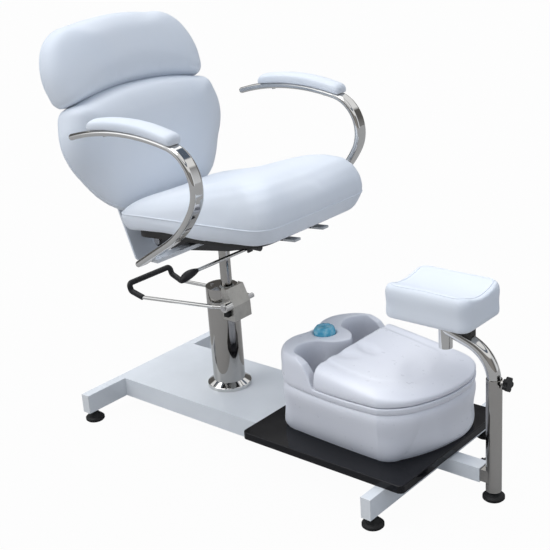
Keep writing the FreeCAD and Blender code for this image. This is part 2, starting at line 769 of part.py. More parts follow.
def make_recline():
    y = -FRAME_Y
    bar = cyl(LEVER_ROD_R, 190, LEVER_ROD_X, y + 14, LEVER_ROD_Z, V(0, -1, 0))
    half = LUG_GAP - SLIDE
    boss = cyl(LUG_R, 2 * half, LEVER_ROD_X - half, y + LUG_IN, LEVER_ROD_Z, X)
    bore = cyl(LEVER_PIN_R + RUN, 2 * half, LEVER_ROD_X - half, y + LUG_IN, LEVER_ROD_Z, X)
    keep("lever_rod", cut(fuse(bar, boss), bore))
    y0 = -276.0
    grip = loft([circle(5.2, V(LEVER_ROD_X, y0, LEVER_ROD_Z), Y),
                 circle(9.5, V(LEVER_ROD_X, y0 - 16, LEVER_ROD_Z - 1), Y),
                 circle(11.5, V(LEVER_ROD_X - 1, y0 - 36, LEVER_ROD_Z - 4), Y),
                 circle(8.5, V(LEVER_ROD_X - 2, y0 - 52, LEVER_ROD_Z - 9), Y),
                 circle(4.5, V(LEVER_ROD_X - 2, y0 - 58, LEVER_ROD_Z - 12), Y)])
    keep("lever_grip", cut(grip, bar))
    tube = cyl(GAS_R, 108, 92, GAS_LINE, PIN_Z, X)
    tube = cut(tube, cyl(GAS_ROD_R + RUN, 95, 90, GAS_LINE, PIN_Z, X))
    wide = cyl(GAS_R - 1.5, 87, 95, GAS_LINE, PIN_Z, X)
    tube = cut(tube, wide)
    clamp = box(150, 162, GAS_LINE - 12, GAS_LINE + 12, PIN_Z - 12, seat_w(150) + 40)
    clamp = cut(clamp, wide)
    clamp = cut(clamp, seat(box(-300, 400, -200, 200, -SEAT_BOARD_T - FRAME_T, 200)))
    keep("gas_cylinder", fuse(tube, clamp))
    bar = cyl(GAS_ROD_R, 233, PIN_X + 7, GAS_LINE, PIN_Z, X)
    head = cyl(GAS_R - 1.6, 6, PIN_X + 234, GAS_LINE, PIN_Z, X)
    eye = fuse(cyl(8, 5, PIN_X, GAS_LINE - 2.5, PIN_Z, Y), bar, head)
    keep("gas_rod", cut(eye, cyl(EYE_R, 20, PIN_X, GAS_LINE - 10, PIN_Z, Y)))


# Back: local X is the cushions' outward normal, Z runs up the back

def back(shape):
    return moved(turned(shape, -BACK_TILT), BACK_X, 0, BACK_Z)


def outline(arcs, scale, mid, n):
    """Closed outline of three-point arcs given as (y, s), shrunk about (0, mid)."""
    def at(p):
        return V(n, p[0] * scale, mid + (p[1] - mid) * scale)
    return Part.Wire([Part.Arc(at(a), at(b), at(c)).toShape() for a, b, c in arcs])


LOWER = [
    ((-140, -32), (0, -38), (140, -32)),
    ((140, -32), (218, 20), (266, 95)),
    ((266, 95), (293, 178), (276, 254)),
    ((276, 254), (264, 277), (238, 286)),
    ((238, 286), (0, 312), (-238, 286)),
    ((-238, 286), (-264, 277), (-276, 254)),
    ((-276, 254), (-293, 178), (-266, 95)),
    ((-266, 95), (-218, 20), (-140, -32)),
]
UPPER = [
    ((-246, 290), (0, 315), (246, 290)),
    ((246, 290), (264, 299), (270, 320)),
    ((270, 320), (276, 370), (264, 420)),
    ((264, 420), (226, 473), (146, 499)),
    ((146, 499), (0, 512), (-146, 499)),
    ((-146, 499), (-226, 473), (-264, 420)),
    ((-264, 420), (-276, 370), (-270, 320)),
    ((-270, 320), (-264, 299), (-246, 290)),
]
LOWER_MID = 140.0
UPPER_MID = 408.0


def back_cushion(arcs, mid, levels):
    wires = []
    for n, scale, lean in levels:
        wires.append(turned(outline(arcs, scale, mid, n), lean, Y, n, 0, mid))
    return back(loft(wires, True))


def back_board(arcs, mid, scale):
    face = Part.Face(outline(arcs, scale, mid, -BACK_HALF_T - 8))
    return face.extrude(V(8, 0, 0))


def make_back():
    h = BACK_HALF_T
    lower = [(-h, 0.95, 0), (-h + 8, 0.985, 1), (-18, 1.0, 5), (0, 0.985, 10), (14, 0.95, 14),
             (20, 0.92, 16), (25, 0.87, 17), (31, 0.76, 18), (35.5, 0.6, 18), (38.2, 0.42, 18),
             (39.4, 0.22, 18)]
    upper = [(-h, 0.94, 0), (-h + 8, 0.98, 0), (-14, 1.0, -1), (8, 0.99, -2), (24, 0.95, -3),
             (30, 0.92, -4), (35, 0.87, -4), (40, 0.76, -4), (43.8, 0.6, -4), (46, 0.42, -4), (47, 0.22, -4)]
    keep("back_cushion_lower", back_cushion(LOWER, LOWER_MID, lower))
    keep("back_cushion_upper", back_cushion(UPPER, UPPER_MID, upper))
    boards = [back_board(LOWER, LOWER_MID, 0.92), back_board(UPPER, UPPER_MID, 0.9)]
    t = BACK_PLATE_T
    n0 = -h - 8 - t
    foot_s = -162.0
    y = BACK_PLATE_Y
    plate = slab_yz(n0, t, -y, y, foot_s, 60, 12)
    plate = fuse(plate, slab_yz(n0, t, -60, 60, 0, 440, 20))
    screws = []
    spots = [(-110, 30), (110, 30), (0, 200), (-40, 350), (40, 350), (0, 415)]
    for v, s in spots:
        hole = cyl(3, t + 8, n0, v, s, X)
        plate = cut(plate, hole)
        boards = [b.cut(hole) for b in boards]
        screws.append(back(fuse(hole, cyl(6, 3, n0 - 3, v, s, X))))
    body = back(plate)
    gap = FRAME_Y - FRAME_T - SLIDE
    body = fuse(body, cyl(12, 2 * gap, HINGE_X, -gap, HINGE_Z, Y))
    for yy in (-84, 78):
        web = [(HINGE_X, HINGE_Z - 10), (HINGE_X, HINGE_Z + 10), (-186, 552), (-176, 512)]
        body = fuse(body, plate_xz(web, yy, yy + 6))
    lug = [(HINGE_X - 9, HINGE_Z), (HINGE_X + 9, HINGE_Z), (PIN_X + 6, PIN_Z + 3),
           (PIN_X + 3, PIN_Z + 6), (PIN_X - 3, PIN_Z + 6), (PIN_X - 6, PIN_Z + 3)]
    y0 = GAS_LINE + GAS_ROD_R + SLIDE
    body = fuse(body, plate_xz(lug, y0, y0 + 6), cyl(3, 12, PIN_X, y0 - 10, PIN_Z, Y))
    body = cut(body, cyl(13, 2 * GAS_ROD_R + 1, HINGE_X, y0 - 2 * GAS_ROD_R - 1, HINGE_Z, Y))
    pin_r = HINGE_R - RUN
    body = cut(body, cyl(pin_r, 400, HINGE_X, -200, HINGE_Z, Y))
    keep("back_bar", body)
    length = FRAME_Y * 2 + 8
    pin = cyl(pin_r, length, HINGE_X, -length / 2, HINGE_Z, Y)
    for s in (-1, 1):
        y = s * (FRAME_Y + SLIDE)
        y0, y1 = sorted((y, y + s * 6))
        pin = fuse(pin, cyl(11, y1 - y0, HINGE_X, y0, HINGE_Z, Y))
    keep("hinge_pin", pin)
    keep("back_boards", Part.makeCompound([back(b) for b in boards]))
    keep("back_screws", Part.makeCompound(screws))


def slab_yz(x0, t, y0, y1, z0, z1, r):
    """Flat plate in the Y-Z plane with rounded corners."""
    flat = slab(z0, z1, y0, y1, 0, t, r)
    return moved(turned(flat, -90), x0 + t, 0, 0)


# Footrest

BUSH_Z0 = 130.0
BUSH_Z1 = 200.0
NECK_R = 15.5
POST_BORE = 17.6
KNOB_Z = 318.0
BOARD2_Z = 449.0
BOARD2_T = 8.0
BOARD2_INSET = 24.0
STEM_R = 12.0
CUSH_X0 = HUB_X - 120.0
CUSH_X1 = HUB_X + 104.0
CUSH_Y = 83.0
CUSH_T = 84.0
DISH = 15.0


def make_post():
    t = SLEEVE_T + SLIDE
    y = SLEEVE_Y - t
    z0 = SLEEVE_Z0 + t
    z1 = SLEEVE_Z1 - t
    w = TUBE_T
    tube = box(470, POST_X, -y, y, z0, z1)
    tube = cut(tube, box(460, POST_X + 1, -y + w, y - w, z0 + w, z1 - w))
    keep("extension_tube", cut(tube, cyl(POST_R, 200, POST_X, 0, 0)))
    low = 24.0
    post = cyl(POST_R, POST_TOP - low, POST_X, 0, low)
    post = cut(post, cyl(POST_BORE, POST_TOP, POST_X, 0, low + 12))
    post = cut(post, cyl(STUD_R + RUN, 40, POST_X, 0, low - 1))
    nut = cut(cyl(6, POST_R + 6, POST_X, 0, KNOB_Z, X), cyl(POST_R - 0.5, 400, POST_X, 0, 0))
    post = fuse(post, nut)
    keep("post", cut(post, cyl(4 + RUN, 60, POST_X, 0, KNOB_Z, X)))
    top = low - 0.4
    pad = revolve([(0, 0), (FOOT_R - 3, 0), (FOOT_R, 3), (FOOT_R, 9), (FOOT_R - 5, 13), (17, 15),
                   (13, 18), (13, top), (0, top)], POST_X, 0)
    keep("post_foot", fuse(pad, cyl(STUD_R, 16, POST_X, 0, top - 1)))
    knob = star_knob(18, 4, 8)
    knob = turned(knob, 90, Y)
    keep("star_knob", moved(knob, POST_X + POST_R + 6 + SLIDE, 0, KNOB_Z))
    bush = revolve([(NECK_R + RUN, BUSH_Z0), (POST_BORE - RUN, BUSH_Z0),
                    (POST_BORE - RUN, BUSH_Z1), (NECK_R + RUN, BUSH_Z1)], POST_X, 0)
    keep("arm_bush", bush)


def foot_arm():
    corner = V(POST_X, 0, 384.6)
    hub_z = 384.6 + (POST_X - HUB_X) * 0.3256
    points = [V(POST_X, 0, BUSH_Z1 + SLIDE), corner, V(HUB_X, 0, hub_z)]
    tube = rod(points, 95, ARM_TUBE_R)
    inner = rod([points[0] - V(0, 0, 1), corner, V(HUB_X, 0, hub_z)], 95, ARM_TUBE_R - TUBE_T)
    tube = cut(tube, inner)
    neck = cyl(NECK_R, BUSH_Z1 - BUSH_Z0 + 20, POST_X, 0, BUSH_Z0 - SLIDE)
    tail = cyl(ARM_TUBE_R, 5, POST_X, 0, BUSH_Z0 - SLIDE - 5)
    hub = cyl(ARM_TUBE_R, HUB_TOP - 375, HUB_X, 0, 375)
    body = fuse(tube, neck, tail, hub)
    body = cut(body, box(HUB_X - 60, HUB_X + 60, -40, 40, HUB_TOP, HUB_TOP + 40))
    return cut(body, cyl(STEM_R + RUN, 100, HUB_X, 0, 380))


def foot_cushion():
    """Block cushion with drawn-in sides and a shallow channel along its top."""
    z0 = BOARD2_Z + BOARD2_T
    levels = [(0, 0), (6, 2), (30, 2), (CUSH_T - 20, 3), (CUSH_T - 6, 0), (CUSH_T, -8)]
    wires = []
    for dz, grow in levels:
        wires.append(rounded(CUSH_X0 - grow, CUSH_X1 + grow, -CUSH_Y - grow, CUSH_Y + grow, 24, z0 + dz))
    body = loft(wires)
    chord = CUSH_Y - 15
    r = (chord * chord + DISH * DISH) / (2 * DISH)
    return cut(body, cyl(r, 400, CUSH_X0 - 60, 0, z0 + CUSH_T - DISH + r, X))


def make_footrest():
    make_post()
    arm = foot_arm()
    keep("foot_arm", arm)
    edge = BOARD2_INSET
    board = slab(CUSH_X0 + edge, CUSH_X1 - edge, -CUSH_Y + edge, CUSH_Y - edge, BOARD2_Z,
                 BOARD2_Z + BOARD2_T, 16)
    stem = cyl(STEM_R, BOARD2_Z - 382, HUB_X, 0, 382)
    block = box(HUB_X + 52, HUB_X + 76, -12, 12, 412, BOARD2_Z)
    keepout = rod([V(POST_X, 0, 300), V(POST_X, 0, 384.6), V(HUB_X, 0, 427.6)], 95, ARM_TUBE_R + SLIDE)
    keep("cushion_board", fuse(board, stem, cut(block, keepout)))
    keep("foot_cushion", foot_cushion())


# Foot basin: plan outlines of three-point arcs, the near side first

BODY = [
    ((317, 0), (315, -22), (308, -42)),
    ((308, -42), (303, -95), (330, -142)),
    ((330, -142), (352, -160), (385, -170)),
    ((385, -170), (520, -185), (652, -181)),
    ((652, -181), (698, -150), (734, -95)),
    ((734, -95), (757, -33), (764, 32)),
    ((764, 32), (761, 84), (743, 127)),
    ((743, 127), (716, 156), (672, 166)),
    ((672, 166), (530, 173), (385, 170)),
    ((385, 170), (352, 160), (330, 142)),
    ((330, 142), (303, 95), (308, 42)),
    ((308, 42), (315, 22), (317, 0)),
]
FOOT = [
    ((322, 0), (321, -22), (316, -42)),
    ((316, -42), (311, -93), (329, -137)),
    ((329, -137), (346, -145), (372, -148)),
    ((372, -148), (500, -156), (640, -160)),
    ((640, -160), (666, -151), (684, -127)),
    ((684, -127), (725, -45), (745, 38)),
    ((745, 38), (746, 82), (733, 126)),
    ((733, 126), (704, 158), (664, 166)),
    ((664, 166), (520, 165), (372, 150)),
    ((372, 150), (346, 147), (329, 137)),
    ((329, 137), (311, 93), (316, 42)),
    ((316, 42), (321, 22), (322, 0)),
]
WELL = [
    ((448, 0), (425, -34), (388, -50)),
    ((388, -50), (360, -98), (385, -145)),
    ((385, -145), (480, -159), (610, -156)),
    ((610, -156), (670, -128), (710, -78)),
    ((710, -78), (736, -10), (740, 60)),
    ((740, 60), (722, 122), (660, 158)),
    ((660, 158), (500, 161), (385, 145)),
    ((385, 145), (360, 98), (388, 50)),
    ((388, 50), (425, 34), (448, 0)),
]
BODY_MID = 510.0
WELL_MID = 540.0
WALL = 3.5
GROOVE = 0.01
KNOB_X = 363.0
KNOB_R = 30.0
COVER_X = 462.0


def plan(arcs, mid, scale, z, lean=0.0):
    def at(p):
        return V(mid + (p[0] - mid) * scale, p[1] * scale, z)
    wire = Part.Wire([Part.Arc(at(a), at(b), at(c)).toShape() for a, b, c in arcs])
    return turned(wire, lean, Y, mid, 0, z)


def plan_loft(arcs, mid, levels):
    return loft([plan(arcs, mid, level[1], level[0], *level[2:]) for level in levels])


def between(low, high, k):
    """Plan outline part of the way from one list of arcs to another."""
    return [tuple(tuple(a + (b - a) * k for a, b in zip(p, q)) for p, q in zip(arc, other))
            for arc, other in zip(low, high)]


def basin_base():
    """Lower shell, drawn in towards its foot, with a small groove left under the tub."""
    top = BASIN_GROOVE
    levels = [(BASIN_Z, 0.0, 0.985), (BASIN_Z + 5, 0.0, 1.0), (150, 0.42, 1.0), (195, 0.75, 0.995),
              (top - 4, 1.0, 0.984), (top, 1.0, 0.984 - GROOVE)]
    outer = []
    inner = []
    for z, k, scale in levels:
        arcs = between(FOOT, BODY, k)
        outer.append(plan(arcs, BODY_MID, scale, z))
        inner.append(plan(arcs, BODY_MID, scale - 0.024, z + (WALL if z < top else 1)))
    return cut(loft(outer), loft(inner))


def basin_tub():
    rim = plan_loft(BODY, BODY_MID, [(BASIN_GROOVE, 0.984 - GROOVE), (BASIN_GROOVE + 5, 0.99), (285, 1.0),
                                     (BASIN_RIM - 14, 0.995), (BASIN_RIM - 4, 0.975), (BASIN_RIM, 0.945)])
    well = [(134, 0.80), (150, 0.87), (200, 0.93), (262, 0.97), (BASIN_RIM - 12, 0.99), (BASIN_RIM + 5, 1.04)]
    bowl = plan_loft(WELL, WELL_MID, [(128, 0.82), (148, 0.895), (200, 0.955), (BASIN_GROOVE + 2, 0.985)])
    body = fuse(rim, bowl)
    body = cut(body, plan_loft(WELL, WELL_MID, well))
    drop = [(395, BASIN_RIM + 1), (424, 317), (444, 292), (COVER_X - 4, BASIN_SEAT), (900, BASIN_SEAT),
            (900, 400), (395, 400)]
    for y0, y1 in ((-300, -62), (62, 300)):
        body = cut(body, plate_xz(drop, y0, y1))
    body = cut(body, box(COVER_X, 900, -70, 70, BASIN_SEAT, 400))
    z = BASIN_RIM - 9
    body = cut(body, cyl(KNOB_R + 2, 40, KNOB_X, 0, z))
    return cut(body, cyl(5 + RUN, 60, KNOB_X, 0, z - 18))


def basin_cover():
    levels = [(BASIN_SEAT, 0.996 - GROOVE, 0), (272, 1.0, 0.5), (290, 0.995, 3), (303, 0.97, 5.5), (312, 0.92, 7),
              (317, 0.84, 7.6), (319, 0.66, 7.7)]
    outer = plan_loft(BODY, BODY_MID, levels)
    inside = [(BASIN_SEAT - 2, 0.97, 0)] + [(z - 3.5, s - 0.022, lean) for z, s, lean in levels[1:]]
    shell = cut(outer, plan_loft(BODY, BODY_MID, inside))
    return cut(shell, box(200, COVER_X, -300, 300, 200, 400))


def make_basin():
    keep("basin_base", basin_base())
    keep("basin_tub", basin_tub())
    keep("basin_cover", basin_cover())
    z = BASIN_RIM - 9 + SLIDE
    dome = revolve([(0, z), (KNOB_R - 1, z), (KNOB_R, z + 2), (KNOB_R - 1, z + 14), (KNOB_R - 5, z + 20),
                    (KNOB_R - 13, z + 24), (0, z + 26)], KNOB_X, 0)
    keep("basin_knob", fuse(dome, cyl(5, 16, KNOB_X, 0, z - 15)))


def finish():
    """Shifts everything so the footprint's middle is the origin, then writes the STEP files."""
    low = 1e9
    high = -1e9
    for shape in parts.values():
        for point in shape.tessellate(0.2)[0]:
            low = min(low, point.x)
            high = max(high, point.x)
    shift = -(low + high) / 2
    for name, shape in parts.items():
        moved(shape, shift).exportStep("parts/" + name + ".step")
    return shift


def build():
    os.makedirs("parts", exist_ok=True)
    make_base()
    make_pump()
    make_pedal()
    make_seat()
    make_recline()
    make_back()
    make_footrest()
    make_basin()
    print("parts", len(parts), "shift", round(finish(), 3))


if __name__ == "__main__":
    build()
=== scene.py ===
import json
import math
import bmesh
import bpy
import numpy as np
from mathutils import Matrix, Vector
from mathutils.bvhtree import BVHTree


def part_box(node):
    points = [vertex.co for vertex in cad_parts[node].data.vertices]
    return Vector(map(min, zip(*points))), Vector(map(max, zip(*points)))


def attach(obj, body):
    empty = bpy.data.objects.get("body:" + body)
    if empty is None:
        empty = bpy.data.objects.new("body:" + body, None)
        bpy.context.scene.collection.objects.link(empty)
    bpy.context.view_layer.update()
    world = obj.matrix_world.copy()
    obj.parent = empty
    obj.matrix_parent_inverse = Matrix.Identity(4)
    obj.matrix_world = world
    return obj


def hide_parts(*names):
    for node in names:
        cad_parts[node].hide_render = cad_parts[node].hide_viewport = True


# Pedicure spa chair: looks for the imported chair. Metres, +Z up, +X towards the foot basin.

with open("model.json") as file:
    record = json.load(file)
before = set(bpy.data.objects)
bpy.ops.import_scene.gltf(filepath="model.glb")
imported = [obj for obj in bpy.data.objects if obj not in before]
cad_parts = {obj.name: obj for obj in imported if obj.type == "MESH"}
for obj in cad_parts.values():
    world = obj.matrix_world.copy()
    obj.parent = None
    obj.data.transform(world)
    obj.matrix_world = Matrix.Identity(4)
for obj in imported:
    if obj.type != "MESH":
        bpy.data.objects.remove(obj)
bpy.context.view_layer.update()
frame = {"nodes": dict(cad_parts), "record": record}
chair = frame["nodes"]
scene = bpy.context.scene


def middle(node):
    low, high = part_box(node)
    return (low + high) / 2


# The pump's column, which the other places are counted from, and the seat's underside over it
COLUMN_X = middle("pump_flange").x
SEAT_TILT = math.radians(4.34)
SEAT_Z = 0.589

# Where the bare ends of the tray's front rails start, in front of the column
RAIL_FROM = 0.298


# Camera

LENS_MM = 71.83
SENSOR_MM = 36.0
CAMERA_FROM_COLUMN = (2.03186, -2.07851, 1.47152)


def hang_camera():
    data = bpy.data.cameras.new("photo camera")
    data.lens = LENS_MM
    data.sensor_width = SENSOR_MM
    camera = bpy.data.objects.new("photo camera", data)
    right = Vector((0.76446, 0.64151, -0.06437))
    up = Vector((-0.17459, 0.30209, 0.93721))
    back = Vector((0.6206, -0.7052, 0.3429))
    place = Matrix((right, up, back)).transposed().to_4x4()
    x, y, z = CAMERA_FROM_COLUMN
    place.translation = Vector((COLUMN_X + x, y, z))
    camera.matrix_world = place
    scene.collection.objects.link(camera)
    scene.camera = camera


hang_camera()


# Finishes

def node(tree, kind, put=None, **inputs):
    """A shader node with its settings in put and its unlinked inputs by name."""
    made = tree.nodes.new("ShaderNode" + kind)
    for key, value in (put or {}).items():
        setattr(made, key, value)
    for key, value in inputs.items():
        made.inputs[key.replace("_", " ")].default_value = value
    return made


def finish(name, colour, rough, metal=0.0, coat=0.0):
    """A named material with a Principled shader. Returns its tree, shader and Object coordinates."""
    material = bpy.data.materials.new(name)
    material.use_nodes = True
    tree = material.node_tree
    tree.nodes.clear()
    shader = node(tree, "BsdfPrincipled", Base_Color=(*colour, 1), Roughness=rough, Metallic=metal)
    shader.inputs["Coat Weight"].default_value = coat
    shader.inputs["Coat Roughness"].default_value = 0.06
    out = node(tree, "OutputMaterial")
    tree.links.new(shader.outputs[0], out.inputs["Surface"])
    place = node(tree, "TexCoord").outputs["Object"]
    return material, tree, shader, place


def stretched(tree, place, scale, turn=(0, 0, 0)):
    mapping = node(tree, "Mapping", Scale=scale, Rotation=turn)
    tree.links.new(place, mapping.inputs["Vector"])
    return mapping.outputs["Vector"]


def speckle(tree, place, scale, detail=2.0, rough=0.5):
    """Noise over the surface, as a value."""
    made = node(tree, "TexNoise", Scale=scale, Detail=detail, Roughness=rough)
    tree.links.new(place, made.inputs["Vector"])
    return made.outputs["Fac"]


def cells(tree, place, scale):
    made = node(tree, "TexVoronoi", Scale=scale)
    tree.links.new(place, made.inputs["Vector"])
    return made.outputs["Distance"]


def between(tree, value, low, high, start=0.0, stop=1.0):
    """A value spread from start..stop onto low..high."""
    made = node(tree, "MapRange", From_Min=start, From_Max=stop, To_Min=low, To_Max=high)
    tree.links.new(value, made.inputs["Value"])
    return made.outputs["Result"]


def shades(tree, value, *stops):
    """Colours along a value: (position, colour) pairs."""
    ramp = node(tree, "ValToRGB")
    marks = ramp.color_ramp.elements
    for _ in range(len(stops) - 2):
        marks.new(0.5)
    for mark, (at, colour) in zip(marks, stops):
        mark.position = at
        mark.color = (*colour, 1)
    tree.links.new(value, ramp.inputs["Fac"])
    return ramp.outputs["Color"]


def relief(tree, shader, height, distance, strength=1.0, below=None):
    bump = node(tree, "Bump", Distance=distance, Strength=strength)
    tree.links.new(height, bump.inputs["Height"])
    if below is not None:
        tree.links.new(below, bump.inputs["Normal"])
    tree.links.new(bump.outputs["Normal"], shader.inputs["Normal"])
    return bump.outputs["Normal"]


def vinyl():
    """Cool white upholstery vinyl with a fine pressed grain."""
    material, tree, shader, place = finish("white vinyl", (0.81, 0.85, 0.90), 0.5)
    shader.inputs["Specular IOR Level"].default_value = 0.3
    cloudy = speckle(tree, place, 4.0, 3.0)
    tint = shades(tree, cloudy, (0.3, (0.79, 0.832, 0.89)), (0.7, (0.83, 0.857, 0.897)))
    tree.links.new(tint, shader.inputs["Base Color"])
    tree.links.new(between(tree, speckle(tree, place, 22.0, 4.0), 0.46, 0.58, 0.3, 0.7),
                   shader.inputs["Roughness"])
    soft = relief(tree, shader, speckle(tree, place, 9.0, 2.0), 0.003, 0.12)
    grain = relief(tree, shader, cells(tree, place, 900.0), 0.00012, 0.25, soft)
    relief(tree, shader, speckle(tree, place, 420.0, 3.0), 0.0001, 0.2, grain)
    return material


def chrome(name, tint, smear=0.05):
    """Polished chrome with a faint haze and a warmer cast in places."""
    material, tree, shader, place = finish(name, tint, 0.07, 1.0)
    haze = speckle(tree, place, 14.0, 5.0, 0.65)
    tree.links.new(between(tree, haze, 0.03, 0.03 + smear, 0.35, 0.75), shader.inputs["Roughness"])
    warm = tuple(c * k for c, k in zip(tint, (0.94, 0.93, 0.91)))
    tree.links.new(shades(tree, speckle(tree, place, 6.0, 3.0), (0.35, tint), (0.8, warm)),
                   shader.inputs["Base Color"])
    relief(tree, shader, speckle(tree, place, 30.0, 1.0), 0.0002, 0.06)
    return material


def satin_plate():
    """Satin plated sheet with fine vertical polishing lines."""
    material, tree, shader, place = finish("satin plate", (0.5, 0.49, 0.46), 0.34, 1.0)
    lines = speckle(tree, stretched(tree, place, (900, 900, 14)), 1.0, 3.0)
    tree.links.new(between(tree, lines, 0.26, 0.44, 0.3, 0.7), shader.inputs["Roughness"])
    cloudy = speckle(tree, place, 25.0, 3.0)
    tree.links.new(shades(tree, cloudy, (0.3, (0.56, 0.55, 0.52)), (0.75, (0.44, 0.43, 0.41))),
                   shader.inputs["Base Color"])
    relief(tree, shader, lines, 0.0001, 0.4)
    return material


def bare_steel(name, tint, rough):
    """Plain metal with fine turning lines."""
    material, tree, shader, place = finish(name, tint, rough, 1.0)
    lines = speckle(tree, stretched(tree, place, (60, 60, 700)), 1.0, 3.0)
    tree.links.new(between(tree, lines, rough * 0.7, rough * 1.3, 0.3, 0.7), shader.inputs["Roughness"])
    relief(tree, shader, lines, 0.0001, 0.3)
    return material


def powder_coat(name, tint, rough):
    """Baked paint: slight orange peel and a little dust in its colour."""
    material, tree, shader, place = finish(name, tint, rough, 0.0, 0.25)
    dusty = tuple(c * 0.93 for c in tint)
    cloudy = speckle(tree, place, 7.0, 4.0, 0.6)
    tree.links.new(shades(tree, cloudy, (0.4, tint), (0.85, dusty)), shader.inputs["Base Color"])
    tree.links.new(between(tree, speckle(tree, place, 40.0, 3.0), rough * 0.8, rough * 1.35, 0.3, 0.7),
                   shader.inputs["Roughness"])
    relief(tree, shader, speckle(tree, place, 260.0, 1.0), 0.00008, 0.12)
    return material


def polished_black():
    """Polished black board with fine grey flecks."""
    material, tree, shader, place = finish("polished black board", (0.008, 0.008, 0.01), 0.07)
    shader.inputs["Specular IOR Level"].default_value = 0.25
    flecks = cells(tree, place, 420.0)
    tree.links.new(shades(tree, flecks, (0.0, (0.022, 0.022, 0.026)), (0.12, (0.007, 0.007, 0.009))),
                   shader.inputs["Base Color"])
    tree.links.new(between(tree, speckle(tree, place, 18.0, 4.0), 0.05, 0.13, 0.35, 0.75),
                   shader.inputs["Roughness"])
    relief(tree, shader, speckle(tree, place, 9.0, 1.0), 0.0006, 0.1)
    return material


def stained_ply():
    """Black stained plywood with its plies as faint lines."""
    material, tree, shader, place = finish("black stained ply", (0.02, 0.02, 0.02), 0.6)
    lines = speckle(tree, stretched(tree, place, (12, 160, 900)), 1.0, 4.0)
    tree.links.new(shades(tree, lines, (0.3, (0.014, 0.013, 0.012)), (0.75, (0.04, 0.037, 0.034))),
                   shader.inputs["Base Color"])
    relief(tree, shader, lines, 0.0005, 0.4)
    return material


def moulding(name, low, high, rough):
    """Moulded plastic: a faintly wavy skin with a very fine grain."""
    material, tree, shader, place = finish(name, high, rough)
    cloudy = speckle(tree, place, 5.0, 3.0)
    tree.links.new(shades(tree, cloudy, (0.3, low), (0.7, high)), shader.inputs["Base Color"])
    tree.links.new(between(tree, speckle(tree, place, 60.0, 4.0), rough * 0.8, rough * 1.25, 0.3, 0.7),
                   shader.inputs["Roughness"])
    wavy = relief(tree, shader, speckle(tree, place, 11.0, 1.0), 0.002, 0.03)
    relief(tree, shader, speckle(tree, place, 700.0, 2.0), 0.00002, 0.03, wavy)
    return material


def pale_bar_painted_reflection():
    """Pale silver-grey colour with soft clouds in it: painted reflection, standing in for the white floor
    mirrored in the chrome back bar.
    """
    material, tree, shader, place = finish("back bar painted reflection", (0.78, 0.82, 0.87), 0.36, 0.15)
    cloudy = speckle(tree, stretched(tree, place, (9, 3, 3)), 1.0, 3.0)
    tree.links.new(shades(tree, cloudy, (0.3, (0.66, 0.70, 0.76)), (0.7, (0.84, 0.87, 0.91))),
                   shader.inputs["Base Color"])
    tree.links.new(between(tree, speckle(tree, place, 300.0, 2.0), 0.3, 0.44, 0.3, 0.7),
                   shader.inputs["Roughness"])
    return material


def tray_paint():
    """Black paint on the seat's tray, bare plated steel on the ends of its front rails."""
    material, tree, shader, place = finish("tray paint", (0.02, 0.02, 0.022), 0.38)
    split = node(tree, "SeparateXYZ")
    tree.links.new(place, split.inputs[0])
    bare = between(tree, split.outputs["X"], 0.0, 1.0, COLUMN_X + RAIL_FROM, COLUMN_X + RAIL_FROM + 0.002)
    tint = node(tree, "Mix", {"data_type": "RGBA"})
    tree.links.new(bare, tint.inputs["Factor"])
    cloudy = speckle(tree, place, 30.0, 3.0)
    tree.links.new(shades(tree, cloudy, (0.35, (0.016, 0.016, 0.018)), (0.8, (0.03, 0.03, 0.032))),
                   tint.inputs[6])
    tree.links.new(shades(tree, cloudy, (0.35, (0.5, 0.52, 0.54)), (0.8, (0.62, 0.64, 0.66))),
                   tint.inputs[7])
    tree.links.new(tint.outputs[2], shader.inputs["Base Color"])
    tree.links.new(between(tree, bare, 0.0, 0.45), shader.inputs["Metallic"])
    tree.links.new(between(tree, speckle(tree, place, 200.0, 2.0), 0.3, 0.46, 0.3, 0.7),
                   shader.inputs["Roughness"])
    return material


def clear_blue():
    """Sky blue plastic that lets a little light through, with clouds in its depth."""
    material, tree, shader, place = finish("clear blue plastic", (0.12, 0.5, 0.72), 0.12)
    shader.inputs["Transmission Weight"].default_value = 0.3
    cloudy = speckle(tree, place, 70.0, 3.0)
    tree.links.new(shades(tree, cloudy, (0.3, (0.06, 0.44, 0.70)), (0.5, (0.18, 0.64, 0.86)),
                          (0.72, (0.50, 0.84, 0.95))), shader.inputs["Base Color"])
    tree.links.new(between(tree, speckle(tree, place, 150.0, 2.0), 0.06, 0.2, 0.3, 0.7),
                   shader.inputs["Roughness"])
    return material


def rubber(name, tint, rough, pore):
    """Dull rubber or grained plastic; pore is how fine its grain is."""
    material, tree, shader, place = finish(name, tint, rough)
    shader.inputs["Specular IOR Level"].default_value = 0.22
    grey = tuple(c * 1.8 for c in tint)
    tree.links.new(shades(tree, speckle(tree, place, 30.0, 4.0), (0.4, tint), (0.9, grey)),
                   shader.inputs["Base Color"])
    relief(tree, shader, cells(tree, place, pore), 0.0001, 0.25)
    return material


VINYL = vinyl()
CHROME = chrome("bright chrome", (0.66, 0.66, 0.655))
# Chrome for the column, post, ram, cap and extension tube: its darker, warmer base colour is painted dark
# reflection of the room
DARK_REFLECTION_CHROME = chrome("column chrome with painted dark reflection", (0.44, 0.43, 0.415), 0.06)
SATIN = satin_plate()
DULL_PLATE = bare_steel("dull plated steel", (0.72, 0.75, 0.79), 0.34)
